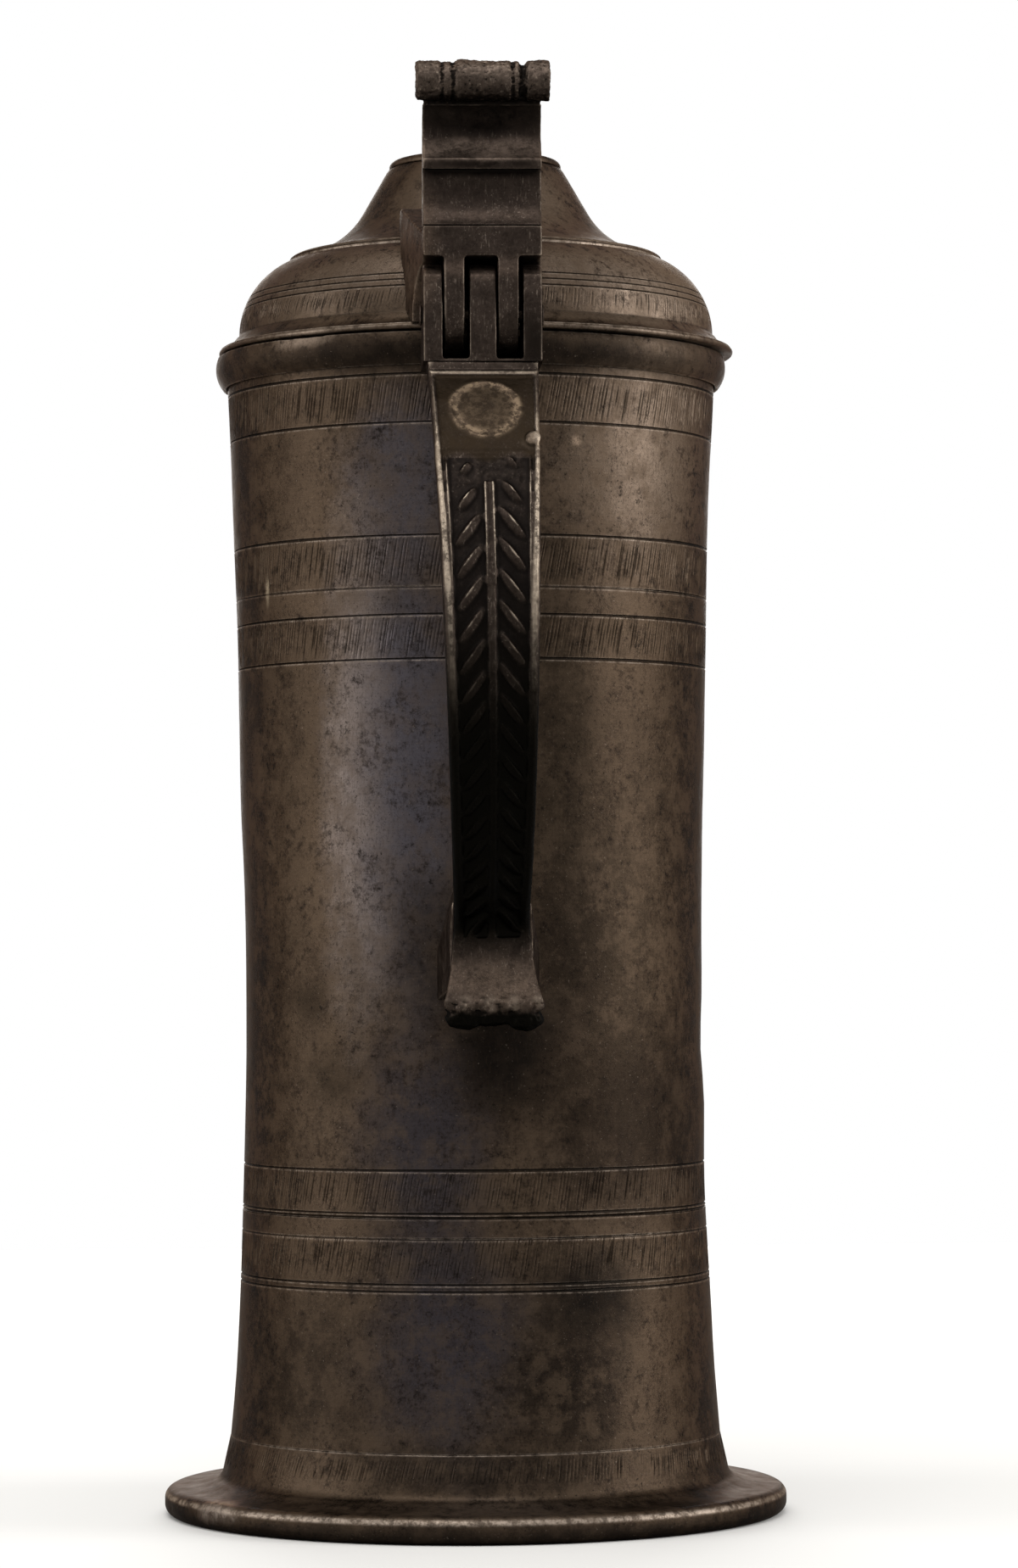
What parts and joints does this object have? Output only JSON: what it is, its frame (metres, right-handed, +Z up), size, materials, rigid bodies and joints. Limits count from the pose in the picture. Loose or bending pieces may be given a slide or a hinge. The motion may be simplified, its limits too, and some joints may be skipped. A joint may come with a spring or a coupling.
{
  "type": "lidded pewter flagon",
  "caption": "Tall lidded pewter flagon with a waisted drum, spread foot, domed lid, bow-shaped strap handle and a thumbpiece that swings the lid on a hinge.",
  "frame": {"origin": "centre of the bottom face of the bounding box, on the plane that the foot rests on; the drum's axis stands 17.9 mm from it towards +Y", "axes": "+Z up along the drum's axis; -Y towards the handle; +X to the right when the handle faces the viewer; the hinge pin lies along X"},
  "size_m": [0.1384, 0.1742, 0.3115],
  "materials": {
    "turned_pewter": "dark brown-grey patina over turned pewter, dull sheen",
    "cast_pewter": "dark patina over cast pewter, edges rubbed bright",
    "pin_metal": "dark patina, peened ends rubbed"
  },
  "bodies": {
    "vessel": {"foot_ring": "turned_pewter", "base_plate": "turned_pewter", "drum_lower": "turned_pewter", "drum_middle": "turned_pewter", "drum_upper": "turned_pewter", "mouth_collar": "turned_pewter", "handle_bracket": "cast_pewter", "handle_strap": "cast_pewter", "handle_pad": "cast_pewter", "hinge_pin": "pin_metal"},
    "lid": {"lid_dome": "turned_pewter", "lid_bezel": "turned_pewter", "lid_crown": "turned_pewter", "lid_strap": "cast_pewter", "thumbpiece": "cast_pewter"}
  },
  "joints": [
    {"name": "lid_hinge", "type": "hinge", "parent": "vessel", "child": "lid", "pos_m": [0, -0.0506, 0.259], "axis": [1, 0, 0], "range_deg": [0, 92]}
  ]
}
